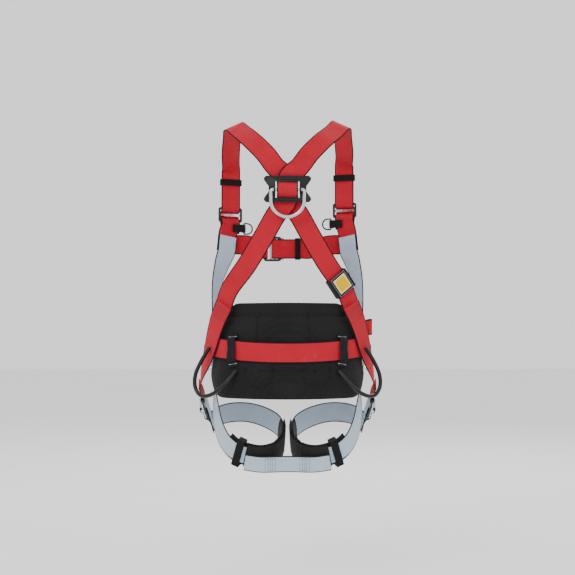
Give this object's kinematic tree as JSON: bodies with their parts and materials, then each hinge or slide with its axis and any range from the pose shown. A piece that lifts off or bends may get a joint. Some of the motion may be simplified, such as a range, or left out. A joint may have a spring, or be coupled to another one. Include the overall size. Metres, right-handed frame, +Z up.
{
  "type": "full body safety harness",
  "caption": "Worn full body harness: red crossed shoulder straps with a dorsal plate and ring, padded waist belt, grey leg straps with pads, buckles and tool loops.",
  "frame": {"origin": "middle of the wearer's waist, level with the belt", "axes": "+X the wearer's right, +Y in front of the wearer, +Z up"},
  "size_m": [0.4126, 0.2763, 0.7685],
  "materials": {
    "red_webbing": "woven polyester with a dark selvedge",
    "grey_webbing": "woven polyester, pale blue grey",
    "black_webbing": "woven black tape",
    "pad_fabric": "quilted air mesh over foam",
    "moulded_plastic": "fine spark texture",
    "loop_tube": "satin",
    "forged_steel": "zinc plated, lightly brushed",
    "black_steel": "satin black coating",
    "bright_bar": "bright plated",
    "elastic": "ribbed elastic",
    "label_card": "laminated card with a pale border"
  },
  "bodies": {
    "webbing": {"adjuster_frame_left": "black_steel", "adjuster_frame_right": "black_steel", "belt_buckle_frame": "black_steel", "belt_keeper_left": "black_webbing", "belt_keeper_right": "black_webbing", "chest_buckle_frame": "black_steel", "chest_riser_left": "red_webbing", "chest_riser_right": "red_webbing", "chest_strap_left": "red_webbing", "chest_strap_right": "red_webbing", "dorsal_plate": "moulded_plastic", "hip_strap_left": "red_webbing", "hip_strap_right": "red_webbing", "hip_tab": "red_webbing", "label_card": "label_card", "label_sleeve": "black_webbing", "leg_buckle_frame_left": "black_steel", "leg_buckle_frame_right": "black_steel", "leg_keeper_left": "elastic", "leg_keeper_right": "elastic", "leg_pad_cover_left": "pad_fabric", "leg_pad_cover_right": "pad_fabric", "leg_pad_left": "pad_fabric", "leg_pad_right": "pad_fabric", "leg_strap_left": "grey_webbing", "leg_strap_right": "grey_webbing", "parking_tab_left": "black_webbing", "parking_tab_right": "black_webbing", "shoulder_strap_left": "red_webbing", "shoulder_strap_right": "red_webbing", "side_ring_tab_left": "grey_webbing", "side_ring_tab_right": "grey_webbing", "side_strap_left": "grey_webbing", "side_strap_right": "grey_webbing", "sub_pelvic_strap": "grey_webbing", "tool_loop_left": "loop_tube", "tool_loop_right": "loop_tube", "waist_belt": "red_webbing", "waist_pad": "pad_fabric"},
    "dorsal_ring": {"dorsal_ring": "forged_steel"},
    "side_ring_left": {"side_ring_left": "forged_steel"},
    "parking_ring_left": {"parking_ring_left": "moulded_plastic"},
    "adjuster_bar_left": {"adjuster_bar_left": "bright_bar"},
    "shoulder_keeper_left": {"shoulder_keeper_left": "elastic"},
    "side_ring_right": {"side_ring_right": "forged_steel"},
    "parking_ring_right": {"parking_ring_right": "moulded_plastic"},
    "adjuster_bar_right": {"adjuster_bar_right": "bright_bar"},
    "shoulder_keeper_right": {"shoulder_keeper_right": "elastic"},
    "chest_buckle_catch": {"chest_buckle_catch": "forged_steel"},
    "chest_buckle_bar": {"chest_buckle_bar": "bright_bar"},
    "belt_buckle_catch": {"belt_buckle_catch": "forged_steel"},
    "belt_buckle_bar": {"belt_buckle_bar": "bright_bar"},
    "leg_buckle_catch_left": {"leg_buckle_catch_left": "forged_steel"},
    "leg_buckle_bar_left": {"leg_buckle_bar_left": "bright_bar"},
    "leg_buckle_catch_right": {"leg_buckle_catch_right": "forged_steel"},
    "leg_buckle_bar_right": {"leg_buckle_bar_right": "bright_bar"},
    "chest_keeper": {"chest_keeper": "elastic"}
  },
  "joints": [
    {"name": "dorsal_ring_swing", "type": "hinge", "parent": "webbing", "child": "dorsal_ring", "pos_m": [0, -0.1336, 0.348], "axis": [-1, 0, 0], "range_deg": [0, 165]},
    {"name": "side_ring_left_swing", "type": "hinge", "parent": "webbing", "child": "side_ring_left", "pos_m": [-0.17524, 0.02988, 0.004], "axis": [0.21, 0.9777, 0], "range_deg": [0, 120]},
    {"name": "parking_ring_left_swing", "type": "hinge", "parent": "webbing", "child": "parking_ring_left", "pos_m": [-0.09954, 0.10254, 0.2728], "axis": [0, 0.1099, 0.9939], "range_deg": [0, 90]},
    {"name": "adjuster_bar_left_slide", "type": "slide", "parent": "webbing", "child": "adjuster_bar_left", "axis": [0, 0.1099, 0.9939], "range_m": [-0.0015, 0.0015]},
    {"name": "shoulder_keeper_left_slide", "type": "slide", "parent": "webbing", "child": "shoulder_keeper_left", "axis": [0, 0.1099, 0.9939], "range_m": [-0.012, 0.006]},
    {"name": "side_ring_right_swing", "type": "hinge", "parent": "webbing", "child": "side_ring_right", "pos_m": [0.17524, 0.02988, 0.004], "axis": [0.21, -0.9777, 0], "range_deg": [0, 120]},
    {"name": "parking_ring_right_swing", "type": "hinge", "parent": "webbing", "child": "parking_ring_right", "pos_m": [0.09935, 0.10459, 0.28323], "axis": [0, -0.07, -0.9975], "range_deg": [0, 90]},
    {"name": "adjuster_bar_right_slide", "type": "slide", "parent": "webbing", "child": "adjuster_bar_right", "axis": [0, 0.07, 0.9975], "range_m": [-0.0015, 0.0015]},
    {"name": "shoulder_keeper_right_slide", "type": "slide", "parent": "webbing", "child": "shoulder_keeper_right", "axis": [0, 0.07, 0.9975], "range_m": [-0.012, 0.006]},
    {"name": "chest_catch_lift", "type": "hinge", "parent": "webbing", "child": "chest_buckle_catch", "pos_m": [-0.00831, 0.12254, 0.227], "axis": [0, 0, -1], "range_deg": [0, 40], "deforming": ["chest_strap_right"]},
    {"name": "chest_bar_slide", "type": "slide", "parent": "chest_buckle_catch", "child": "chest_buckle_bar", "axis": [0.9992, 0.04, 0], "range_m": [-0.0015, 0.0015]},
    {"name": "belt_catch_lift", "type": "hinge", "parent": "webbing", "child": "belt_buckle_catch", "pos_m": [0.0265, 0.11248, 0.0094], "axis": [0, 0, -1], "range_deg": [0, 40], "deforming": ["waist_belt"]},
    {"name": "belt_bar_slide", "type": "slide", "parent": "belt_buckle_catch", "child": "belt_buckle_bar", "axis": [1, 0, 0], "range_m": [-0.0015, 0.0015]},
    {"name": "leg_catch_left_lift", "type": "hinge", "parent": "webbing", "child": "leg_buckle_catch_left", "pos_m": [-0.17981, 0.0221, -0.14034], "axis": [0.0383, -0.8899, -0.4545], "range_deg": [0, 40], "deforming": ["leg_strap_left"]},
    {"name": "leg_bar_left_slide", "type": "slide", "parent": "leg_buckle_catch_left", "child": "leg_buckle_bar_left", "axis": [0.2494, 0.449, -0.858], "range_m": [-0.0015, 0.0015]},
    {"name": "leg_catch_right_lift", "type": "hinge", "parent": "webbing", "child": "leg_buckle_catch_right", "pos_m": [0.17981, 0.0221, -0.14034], "axis": [0.0383, 0.8899, 0.4545], "range_deg": [0, 40], "deforming": ["leg_strap_right"]},
    {"name": "leg_bar_right_slide", "type": "slide", "parent": "leg_buckle_catch_right", "child": "leg_buckle_bar_right", "axis": [-0.2494, 0.449, -0.858], "range_m": [-0.0015, 0.0015]},
    {"name": "chest_keeper_slide", "type": "slide", "parent": "webbing", "child": "chest_keeper", "axis": [0.9992, 0.04, 0], "range_m": [-0.006, 0.012]}
  ]
}
